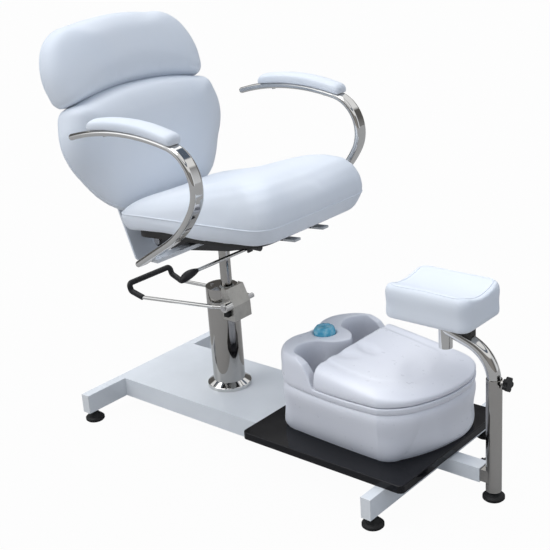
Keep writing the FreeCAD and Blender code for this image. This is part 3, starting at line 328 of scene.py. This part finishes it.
# The back bar's pale colour is painted reflection of the white floor in its chrome
BAR_PAINTED_REFLECTION = pale_bar_painted_reflection()
STEEL = bare_steel("ground steel", (0.55, 0.55, 0.56), 0.3)
ZINC = bare_steel("zinc plate", (0.6, 0.6, 0.6), 0.36)
WHITE_COAT = powder_coat("white powder coat", (0.85, 0.875, 0.90), 0.18)
BLACK_COAT = powder_coat("black paint", (0.02, 0.02, 0.022), 0.38)
END_PLUG = moulding("white end plug", (0.78, 0.79, 0.79), (0.84, 0.85, 0.86), 0.4)
BLACK_BOARD = polished_black()
PLY = stained_ply()
BASIN = moulding("white basin plastic", (0.84, 0.845, 0.90), (0.875, 0.88, 0.92), 0.33)
BLUE = clear_blue()
BLACK_KNOB = rubber("grained black plastic", (0.012, 0.012, 0.013), 0.42, 1400.0)
RUBBER = rubber("black rubber", (0.014, 0.014, 0.014), 0.55, 900.0)
SLEEVE = rubber("pedal sleeve", (0.02, 0.02, 0.021), 0.5, 1100.0)
NYLON = moulding("natural nylon", (0.7, 0.7, 0.66), (0.78, 0.78, 0.74), 0.4)

BY_SLOT = {
    "white_steel": WHITE_COAT, "white_plastic": END_PLUG, "chrome": CHROME, "brushed": SATIN,
    "steel": STEEL, "zinc": ZINC, "black_gloss": BLACK_BOARD, "black_steel": BLACK_COAT,
    "black_board": PLY, "black_plastic": BLACK_KNOB, "black_rubber": RUBBER, "upholstery": VINYL,
    "basin_white": BASIN, "blue": BLUE, "nylon": NYLON,
}
# The column, post, ram, cap and extension tube take the chrome whose darker base colour is painted dark
# reflection
OWN_FINISH = {"pump_cylinder": DARK_REFLECTION_CHROME, "post": DARK_REFLECTION_CHROME, "pump_cap": DARK_REFLECTION_CHROME,
              "ram": DARK_REFLECTION_CHROME, "pedal_sleeve": SLEEVE, "extension_tube": DARK_REFLECTION_CHROME,
              # The back bar takes the pale colour that is painted reflection of the floor
              "back_bar": BAR_PAINTED_REFLECTION, "arm_bar": DULL_PLATE, "mech_frame": tray_paint()}


def dress(piece, material):
    piece.data.materials.clear()
    piece.data.materials.append(material)


def dress_cad_nodes():
    for part in frame["record"]["subparts"]:
        name = part["node"]
        dress(chair[name], OWN_FINISH.get(name, BY_SLOT[part["material_slot"]]))


dress_cad_nodes()


# Soft and moulded pieces grown from copies of their solids

# How far above a resting face the cover still counts as resting
REST_BAND = 0.003


def new_piece(name, mesh, body, material):
    """A smooth-shaded object that rides on a body."""
    piece = bpy.data.objects.new(name, mesh)
    scene.collection.objects.link(piece)
    mesh.materials.clear()
    mesh.materials.append(material)
    for face in mesh.polygons:
        face.use_smooth = True
    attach(piece, body)
    return piece


def settled(piece):
    """The piece's mesh with its modifiers applied."""
    bpy.context.view_layer.update()
    seen = piece.evaluated_get(bpy.context.evaluated_depsgraph_get())
    return bpy.data.meshes.new_from_object(seen)


def remeshed(source, cell, keep=1.0):
    """A merged copy of a CAD node's mesh, laid over with even squares and thinned to a share of them."""
    mesh = chair[source].data.copy()
    bm = bmesh.new()
    bm.from_mesh(mesh)
    bmesh.ops.remove_doubles(bm, verts=bm.verts, dist=0.00002)
    bm.to_mesh(mesh)
    bm.free()
    blank = bpy.data.objects.new("blank", mesh)
    scene.collection.objects.link(blank)
    grid = blank.modifiers.new("even squares", "REMESH")
    grid.mode = "VOXEL"
    grid.voxel_size = cell
    if keep < 1.0:
        blank.modifiers.new("fewer faces", "DECIMATE").ratio = keep
    made = settled(blank)
    bpy.data.objects.remove(blank)
    return made


def eased(mesh, rounds):
    """Smooths the mesh a number of times."""
    bm = bmesh.new()
    bm.from_mesh(mesh)
    for _ in range(rounds):
        bmesh.ops.smooth_vert(bm, verts=bm.verts, factor=0.5, use_axis_x=True, use_axis_y=True,
                              use_axis_z=True)
    bm.to_mesh(mesh)
    bm.free()


def spread(mesh, moves, rounds):
    """Evens out the moves of the vertices over their neighbours."""
    ends = np.array([e.vertices[:] for e in mesh.edges])
    count = np.zeros(len(moves))
    np.add.at(count, ends[:, 0], 1)
    np.add.at(count, ends[:, 1], 1)
    for _ in range(rounds):
        total = np.zeros_like(moves)
        np.add.at(total, ends[:, 0], moves[ends[:, 1]])
        np.add.at(total, ends[:, 1], moves[ends[:, 0]])
        moves = moves * 0.5 + total / count[:, None] * 0.5
    return moves


# Air pressure inside a cover, the last step of its swelling, and how its moves are evened out
PRESSURE = 4.0
LAST_STEP = 20
EVENING_ROUNDS = 40
EVENED_SHARE = 0.85
OWN_SHARE = 0.15


def puffed(piece, cap, resting):
    """Swells the cover from inside, up to cap, and keeps its resting face where it is. Most of
    each move is then evened out over the neighbours."""
    start = [v.co.copy() for v in piece.data.vertices]
    held = piece.vertex_groups.new(name="resting face")
    held.add([v.index for v in piece.data.vertices if resting(v.co)], 1.0, "REPLACE")
    cover = piece.modifiers.new("cover", "CLOTH")
    cover.settings.quality = 4
    cover.settings.tension_stiffness = 30
    cover.settings.compression_stiffness = 30
    cover.settings.bending_stiffness = 4
    cover.settings.vertex_group_mass = held.name
    cover.settings.use_pressure = True
    cover.settings.uniform_pressure_force = PRESSURE
    cover.settings.effector_weights.gravity = 0
    cover.collision_settings.use_collision = False
    cover.point_cache.frame_end = LAST_STEP
    for step in range(1, LAST_STEP + 1):
        scene.frame_set(step)
    blown = settled(piece)
    scene.frame_set(1)
    piece.modifiers.clear()
    moves = np.array([now.co - was for was, now in zip(start, blown.vertices)])
    length = np.linalg.norm(moves, axis=1)
    moves *= np.minimum(1.0, cap / np.maximum(length, 1e-9))[:, None]
    evened = spread(piece.data, moves, EVENING_ROUNDS)
    for v, was, move in zip(piece.data.vertices, start, evened * EVENED_SHARE + moves * OWN_SHARE):
        v.co = was + Vector(move)


def cushion(source, name, body, cell, cap, resting, tight, shape=None, ease=5):
    """A stuffed piece in place of a CAD cushion: even squares, a shaping pass, drawn in by
    tight, then swollen and smoothed."""
    mesh = remeshed(source, cell)
    if shape:
        for v in mesh.vertices:
            v.co = shape(v.co)
        mesh.update()
    bm = bmesh.new()
    bm.from_mesh(mesh)
    bm.normal_update()
    for v in bm.verts:
        if not resting(v.co):
            v.co -= v.normal * tight
    bm.to_mesh(mesh)
    bm.free()
    piece = new_piece(name, mesh, body, VINYL)
    puffed(piece, cap, resting)
    eased(piece.data, ease)
    finer = piece.modifiers.new("finer", "SUBSURF")
    finer.levels = 1
    finer.render_levels = 1
    piece.data = settled(piece)
    piece.modifiers.clear()
    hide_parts(source)
    return piece


def ring_points(mesh, point, normal):
    """Where a plane cuts the mesh, as one closed ring of points in order."""
    bm = bmesh.new()
    bm.from_mesh(mesh)
    bmesh.ops.bisect_plane(bm, geom=bm.verts[:] + bm.edges[:] + bm.faces[:], dist=0.00001, plane_co=point,
                           plane_no=normal, clear_inner=True, clear_outer=True)
    rings = []
    left = set(bm.verts)
    while left:
        first = left.pop()
        ring = [first]
        at = first
        while at is not None:
            ahead = [e.other_vert(at) for e in at.link_edges if e.other_vert(at) in left]
            at = ahead[0] if ahead else None
            if at is not None:
                left.discard(at)
                ring.append(at)
        rings.append([v.co.copy() for v in ring])
    bm.free()
    return max(rings, key=len)


def piping(name, mesh, body, point, normal, thick, out=0.0):
    """A thin welt cord sewn round a cushion where a plane cuts it."""
    ring = ring_points(mesh, point, normal)
    heart = sum(ring, Vector()) / len(ring)
    return rope_ring(name, [p + (p - heart).normalized() * out for p in ring[::3]], body, thick)


# How far inside the edge a ray aims, how far out it starts, and how steeply it comes down
EDGE_IN = 0.012
EDGE_RAY = 0.06
EDGE_SLANT = Vector((0, 0, 1.1))

# How far inside the edge, and how widely, the top's height is looked for
TOP_IN = 0.02
TOP_REACH = 0.012


def edge_piping(name, mesh, body, height, thick):
    """A welt along the rounded top edge of a block cushion, found by rays from outside."""
    ring = ring_points(mesh, Vector((0, 0, height)), Vector((0, 0, 1)))
    heart = sum(ring, Vector()) / len(ring)
    tree = BVHTree.FromPolygons([v.co for v in mesh.vertices], [f.vertices for f in mesh.polygons])
    found = []
    for p in ring[::2]:
        away = (p - heart).normalized()
        slant = away + EDGE_SLANT
        aim = Vector((p.x, p.y, mesh_top(mesh, p, away))) - away * EDGE_IN
        hit = tree.ray_cast(aim + slant * EDGE_RAY, -slant.normalized())
        if hit[0]:
            found.append(hit[0])
    rope_ring(name, found, body, thick)


def mesh_top(mesh, p, away):
    """Highest point of the cushion just inside a place on its side."""
    best = -math.inf
    for v in mesh.vertices:
        if (v.co.xy - (p - away * TOP_IN).xy).length < TOP_REACH:
            best = max(best, v.co.z)
    return best


def rope_ring(name, ring, body, thick):
    """A closed round cord through the points of a ring, smoothed three times."""
    for _ in range(3):
        ring = [(ring[k - 1] + ring[k] * 2 + ring[(k + 1) % len(ring)]) / 4 for k in range(len(ring))]
    data = bpy.data.curves.new(name, "CURVE")
    data.dimensions = "3D"
    data.bevel_depth = thick
    data.bevel_resolution = 2
    line = data.splines.new("POLY")
    line.points.add(len(ring) - 1)
    for mark, p in zip(line.points, ring):
        mark.co = (*p, 1)
    line.use_cyclic_u = True
    rope = bpy.data.objects.new("rope", data)
    scene.collection.objects.link(rope)
    made = settled(rope)
    bpy.data.objects.remove(rope)
    return new_piece(name, made, body, VINYL)


# Seat

def on_seat(u, w):
    """X and Z of a place u along the seat and w above its underside plane."""
    c = math.cos(SEAT_TILT)
    s = math.sin(SEAT_TILT)
    return COLUMN_X + u * c - w * s, SEAT_Z + u * s + w * c


def from_seat(p):
    """The u and w of a place, the other way round."""
    c = math.cos(SEAT_TILT)
    s = math.sin(SEAT_TILT)
    x = p.x - COLUMN_X
    z = p.z - SEAT_Z
    return x * c + z * s, z * c - x * s


def swell(x, centre, half):
    """A smooth bump of height 1 at centre, 0 beyond half."""
    t = min(1.0, abs(x - centre) / half)
    return (1 - t * t) ** 2


def clamped(x):
    """The value, held between 0 and 1."""
    return max(0.0, min(1.0, x))


# Rear end, underside and seam of the seat's cushion, along and above the seat's plane
SEAT_REAR = -0.175
UNDERSIDE_REAR = 0.0085
UNDERSIDE_FALL = 0.0073
SEAM_UP = 0.060
SEAM_LEAN = 0.0183

# The side of the seat up to SIDE_TOP keeps its height; above it the top sinks over SINK_OVER
SIDE_TOP = 0.05
SINK_OVER = 0.06
HOLLOW = 0.010
LAP = 0.008

# The lower edge is drawn up by TUCK from SIDE_FROM outwards
SIDE_FROM = 0.16
SIDE_OVER = 0.035
TUCK = 0.012


def seat_shape(p):
    """Dished in the middle, its lower edge drawn up a little along the sides."""
    u, w = from_seat(p)
    top = clamped((w - SIDE_TOP) / SINK_OVER)
    hollow = swell(u, 0.01, 0.20) * HOLLOW * (0.2 + 0.8 * swell(p.y, 0.0, 0.2))
    lap = swell(u, 0.06, 0.24) * swell(p.y, 0.0, 0.17) * LAP
    w -= top * (hollow + lap)
    skirt = max(0.0, 1 - w / SIDE_TOP) * clamped((abs(p.y) - SIDE_FROM) / SIDE_OVER)
    w += skirt * swell(u, -0.03, 0.17) * TUCK
    x, z = on_seat(u, w)
    return Vector((x, p.y, z))


def seat_rests(p):
    """Whether a place is on the seat's underside."""
    u, w = from_seat(p)
    return w < UNDERSIDE_REAR - (u - SEAT_REAR) * UNDERSIDE_FALL + REST_BAND


def make_seat():
    pad = cushion("seat_cushion", "seat_pad", "seat", cell=0.006, cap=0.009, resting=seat_rests, tight=0.0,
                  shape=seat_shape)
    x, z = on_seat(SEAT_REAR, SEAM_UP)
    lean = Vector((SEAM_LEAN, 0, 1)).normalized()
    lean.rotate(Matrix.Rotation(-SEAT_TILT, 3, "Y"))
    piping("seat_piping", pad.data, "seat", Vector((x, 0, z)), lean, thick=0.0021, out=0.0006)


make_seat()


# Back cushions

# The back's own plane: its lean, a place on it counted from the column, and the seam before it
BACK_TILT = math.radians(20.6)
BACK_X = -0.173
BACK_Z = 0.655
BACK_SEAM = 0.02


def before_back(p):
    """How far a place lies in front of the back's own plane."""
    x = p.x - COLUMN_X - BACK_X
    z = p.z - BACK_Z
    return x * math.cos(BACK_TILT) + z * math.sin(BACK_TILT)


def make_back():
    def rests(p):
        return before_back(p) < face + REST_BAND

    for half in ("lower", "upper"):
        source = "back_cushion_" + half
        name = "back_pad_" + half
        face = min(before_back(v.co) for v in chair[source].data.vertices)
        pad = cushion(source, name, "back", cell=0.006, cap=0.007, resting=rests, tight=-0.003, ease=12)
        normal = Vector((math.cos(BACK_TILT), 0, math.sin(BACK_TILT)))
        point = Vector((COLUMN_X + BACK_X, 0, BACK_Z)) + normal * (face + BACK_SEAM)
        piping(name + "_piping", pad.data, "back", point, normal, thick=0.0015, out=0.0003)


make_back()


# Arm pads

ARM_STEP = 0.01
ARM_REST_BAND = 0.004


def make_arm_pads():
    """Pads that rest on their curved undersides, which are read off in steps along the arm."""
    for side in ("near", "far"):
        source = "arm_pad_" + side
        low = {}
        for v in chair[source].data.vertices:
            key = round(v.co.x / ARM_STEP)
            low[key] = min(low.get(key, math.inf), v.co.z)

        def rests(p):
            key = round(p.x / ARM_STEP)
            near = [low[k] for k in (key - 1, key, key + 1) if k in low]
            return not near or p.z < max(near) + ARM_REST_BAND

        cushion(source, "arm_rest_" + side, "seat", cell=0.003, cap=0.003, resting=rests, tight=0.001)


make_arm_pads()


# Foot cushion

def make_foot_cushion():
    low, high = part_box("foot_cushion")

    def rests(p):
        return p.z < low.z + REST_BAND

    pad = cushion("foot_cushion", "footrest_pad", "footrest_cushion", cell=0.004, cap=0.0012, resting=rests,
                  tight=-0.0012, ease=1)
    edge_piping("footrest_piping", pad.data, "footrest_cushion", (low.z + high.z) / 2, thick=0.0014)


make_foot_cushion()


# Basin: moulded skins with soft edges and shallow dents

def dent(p, x, y, long, broad, deep, turn):
    """Depth of a shallow oval dent about x, y, its long side turned from the X axis."""
    c = math.cos(turn)
    s = math.sin(turn)
    a = ((p.x - x) * c + (p.y - y) * s) / long
    b = ((p.y - y) * c - (p.x - x) * s) / broad
    return deep * math.exp(-(a * a + b * b) ** 1.5)


def moulded(source, name, body, cell, rounds, keep=1.0, shape=None):
    """A smooth skin in place of a basin node."""
    mesh = remeshed(source, cell, keep)
    eased(mesh, rounds)
    if shape:
        for v in mesh.vertices:
            v.co = shape(v.co)
    eased(mesh, 1)
    piece = new_piece(name, mesh, body, BASIN)
    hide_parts(source)
    return piece


# Toe and heel dents of the lid: middle from the column, half length, half width, depth, turn
DENTS = (
    ((0.485, -0.068), 0.032, 0.02, 0.005, 0.5),
    ((0.505, -0.005), 0.032, 0.02, 0.006, -0.2),
    ((0.660, -0.02), 0.03, 0.065, 0.005, 0.35),
)

# The lid's skirt, which keeps its shape
LID_SKIRT = 0.02


def make_basin():
    skirt_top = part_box("basin_cover")[0].z + LID_SKIRT

    def dented(p):
        q = p.copy()
        if p.z > skirt_top:
            for (x, y), long, broad, deep, turn in DENTS:
                q.z -= dent(p, COLUMN_X + x, y, long, broad, deep, turn)
        return q

    moulded("basin_cover", "basin_lid", "basin_cover", cell=0.0022, rounds=6, shape=dented)
    moulded("basin_tub", "basin_shell", "basin", cell=0.0016, rounds=4, keep=0.3)


make_basin()


# Side and top of the knob: shares of its radius and heights from its top, from the foot up
KNOB_OUTLINE = (
    (0.0, -0.0262), (0.94, -0.0262), (1.0, -0.0235), (0.985, -0.013), (0.9, -0.0055), (0.76, -0.0012),
    (0.6, -0.0004), (0.45, -0.0016), (0.25, -0.0026), (0.0, -0.0028),
)
FLUTES = 9
KNOB_STEPS = 108
FLUTE_DEPTH = 0.04
FLUTE_DIP = 0.0008


def make_knob():
    """Fluted turning knob with a shallow hollow in its top."""
    low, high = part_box("basin_knob")
    cx = (low.x + high.x) / 2
    r = (high.x - low.x) / 2
    top = high.z
    bm = bmesh.new()
    rings = []
    for reach, drop in KNOB_OUTLINE[1:-1]:
        ring = []
        for k in range(KNOB_STEPS):
            a = 2 * math.pi * k / KNOB_STEPS
            wave = 0.5 + 0.5 * math.cos(FLUTES * a)
            depth = FLUTE_DEPTH * swell(drop, -0.010, 0.014)
            dip = FLUTE_DIP * swell(reach, 0.75, 0.3) * wave
            q = r * reach * (1 - depth * wave)
            ring.append(bm.verts.new((cx + q * math.cos(a), q * math.sin(a), top + drop - dip)))
        rings.append(ring)
    for lower, upper in zip(rings, rings[1:]):
        for k in range(KNOB_STEPS):
            n = (k + 1) % KNOB_STEPS
            bm.faces.new((lower[k], lower[n], upper[n], upper[k]))
    closings = ((rings[0], KNOB_OUTLINE[0][1], True), (rings[-1], KNOB_OUTLINE[-1][1], False))
    for ring, height, turned in closings:
        heart = bm.verts.new((cx, 0, top + height))
        for k in range(KNOB_STEPS):
            n = (k + 1) % KNOB_STEPS
            bm.faces.new((ring[n], ring[k], heart) if turned else (ring[k], ring[n], heart))
    mesh = bpy.data.meshes.new("basin knob")
    bm.to_mesh(mesh)
    bm.free()
    knob = new_piece("basin_dial", mesh, "basin_knob", BLUE)
    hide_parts("basin_knob")


make_knob()


# Light, floor and surroundings

def lamp(name, spot, aim, size, power):
    """A rectangular lamp that faces a place."""
    data = bpy.data.lights.new(name, "AREA")
    data.shape = "RECTANGLE"
    data.size, data.size_y = size
    data.energy = power
    made = bpy.data.objects.new(name, data)
    made.location = spot
    made.rotation_mode = "QUATERNION"
    made.rotation_quaternion = (Vector(aim) - Vector(spot)).to_track_quat("-Z", "Y")
    scene.collection.objects.link(made)


BROAD_ANGLE = math.radians(50)
WARM_WHITE = (1.0, 1.0, 0.995)


def broad_light(name, towards, power):
    """A wide, even source far away, seen in the given direction."""
    data = bpy.data.lights.new(name, "SUN")
    data.energy = power
    data.angle = BROAD_ANGLE
    data.color = WARM_WHITE
    made = bpy.data.objects.new(name, data)
    made.rotation_mode = "QUATERNION"
    made.rotation_quaternion = Vector(towards).to_track_quat("Z", "Y")
    scene.collection.objects.link(made)


def light_studio():
    broad_light("front left light", (-0.3, -0.42, 1.0), 1.35)
    broad_light("rear left light", (-0.35, 0.35, 1.0), 0.85)
    lamp("left softbox", (-2.2, -2.2, 1.9), (0, 0, 0.5), (1.2, 1.6), 4)


# Shares of the floor's own glow that the camera and mirrors see
FLOOR_TO_CAMERA = 0.97
FLOOR_TO_MIRRORS = 0.06


def lay_floor():
    """White to the camera apart from a trace of shadow, a middling grey to everything else."""
    bm = bmesh.new()
    bmesh.ops.create_grid(bm, x_segments=1, y_segments=1, size=30.0)
    mesh = bpy.data.meshes.new("floor")
    bm.to_mesh(mesh)
    bm.free()
    floor = bpy.data.objects.new("floor", mesh)
    scene.collection.objects.link(floor)
    material, tree, shader, _ = finish("pale floor", (0.37, 0.36, 0.35), 0.7)
    glow = node(tree, "Emission", Color=(1, 1, 1, 1), Strength=1.0)
    rays = node(tree, "LightPath")
    seen = node(tree, "Math", {"operation": "MULTIPLY"})
    tree.links.new(rays.outputs["Is Camera Ray"], seen.inputs[0])
    seen.inputs[1].default_value = FLOOR_TO_CAMERA
    mirrored = node(tree, "Math", {"operation": "MULTIPLY_ADD"})
    tree.links.new(rays.outputs["Is Glossy Ray"], mirrored.inputs[0])
    mirrored.inputs[1].default_value = FLOOR_TO_MIRRORS
    tree.links.new(seen.outputs[0], mirrored.inputs[2])
    shown = node(tree, "Math", {"operation": "MAXIMUM"})
    tree.links.new(mirrored.outputs[0], shown.inputs[0])
    tree.links.new(rays.outputs["Is Transmission Ray"], shown.inputs[1])
    mix = node(tree, "MixShader")
    tree.links.new(shown.outputs[0], mix.inputs[0])
    tree.links.new(shader.outputs[0], mix.inputs[1])
    tree.links.new(glow.outputs[0], mix.inputs[2])
    out = [n for n in tree.nodes if n.type == "OUTPUT_MATERIAL"][0]
    tree.links.new(mix.outputs[0], out.inputs["Surface"])
    mesh.materials.append(material)


# The cool light of the room on everything that isn't a mirror
ROOM_COLOUR = (0.86, 0.955, 1.10, 1)
ROOM_STRENGTH = 0.54


def set_surroundings():
    """White where the camera looks, a soft cool room for plain light, and for what metal mirrors
    a studio with dim walls, two bright openings and a slate band overhead."""
    world = bpy.data.worlds.new("studio")
    scene.world = world
    world.use_nodes = True
    tree = world.node_tree
    tree.nodes.clear()
    place = node(tree, "TexCoord").outputs["Generated"]
    split = node(tree, "SeparateXYZ")
    tree.links.new(place, split.inputs[0])
    round_about = node(tree, "Math", {"operation": "ARCTAN2"})
    tree.links.new(split.outputs["Y"], round_about.inputs[0])
    tree.links.new(split.outputs["X"], round_about.inputs[1])
    turn = between(tree, round_about.outputs[0], 0.0, 1.0, -math.pi, math.pi)
    dim = (0.13, 0.125, 0.12)
    grey = (0.3, 0.285, 0.27)
    bright = (0.9, 0.92, 0.95)
    walls = shades(tree, turn, (0.0, dim), (0.07, dim), (0.1, bright), (0.17, bright), (0.2, dim),
                   (0.33, grey), (0.42, grey), (0.5, dim), (0.56, bright), (0.61, bright), (0.65, dim),
                   (0.9, dim))
    height = between(tree, split.outputs["Z"], 0.0, 1.0, 0.46, 0.52)
    white = (1.0, 1.0, 1.0)
    slate = (0.12, 0.15, 0.2)
    above = shades(tree, split.outputs["Z"], (0.0, white), (0.66, white), (0.68, slate), (0.75, slate),
                   (0.77, white))
    mirrored = node(tree, "Mix", {"data_type": "RGBA"})
    tree.links.new(height, mirrored.inputs["Factor"])
    tree.links.new(walls, mirrored.inputs[6])
    tree.links.new(above, mirrored.inputs[7])
    rays = node(tree, "LightPath")
    room = node(tree, "Background", Color=ROOM_COLOUR, Strength=ROOM_STRENGTH)
    mirror = node(tree, "Background", Strength=1.0)
    tree.links.new(mirrored.outputs[2], mirror.inputs["Color"])
    backdrop = node(tree, "Background", Color=(1, 1, 1, 1), Strength=1.0)
    first = node(tree, "MixShader")
    tree.links.new(rays.outputs["Is Glossy Ray"], first.inputs[0])
    tree.links.new(room.outputs[0], first.inputs[1])
    tree.links.new(mirror.outputs[0], first.inputs[2])
    shown = node(tree, "Math", {"operation": "MAXIMUM"})
    tree.links.new(rays.outputs["Is Camera Ray"], shown.inputs[0])
    tree.links.new(rays.outputs["Is Transmission Ray"], shown.inputs[1])
    second = node(tree, "MixShader")
    tree.links.new(shown.outputs[0], second.inputs[0])
    tree.links.new(first.outputs[0], second.inputs[1])
    tree.links.new(backdrop.outputs[0], second.inputs[2])
    out = node(tree, "OutputWorld")
    tree.links.new(second.outputs[0], out.inputs["Surface"])


light_studio()
lay_floor()
set_surroundings()
scene.view_settings.view_transform = "Standard"
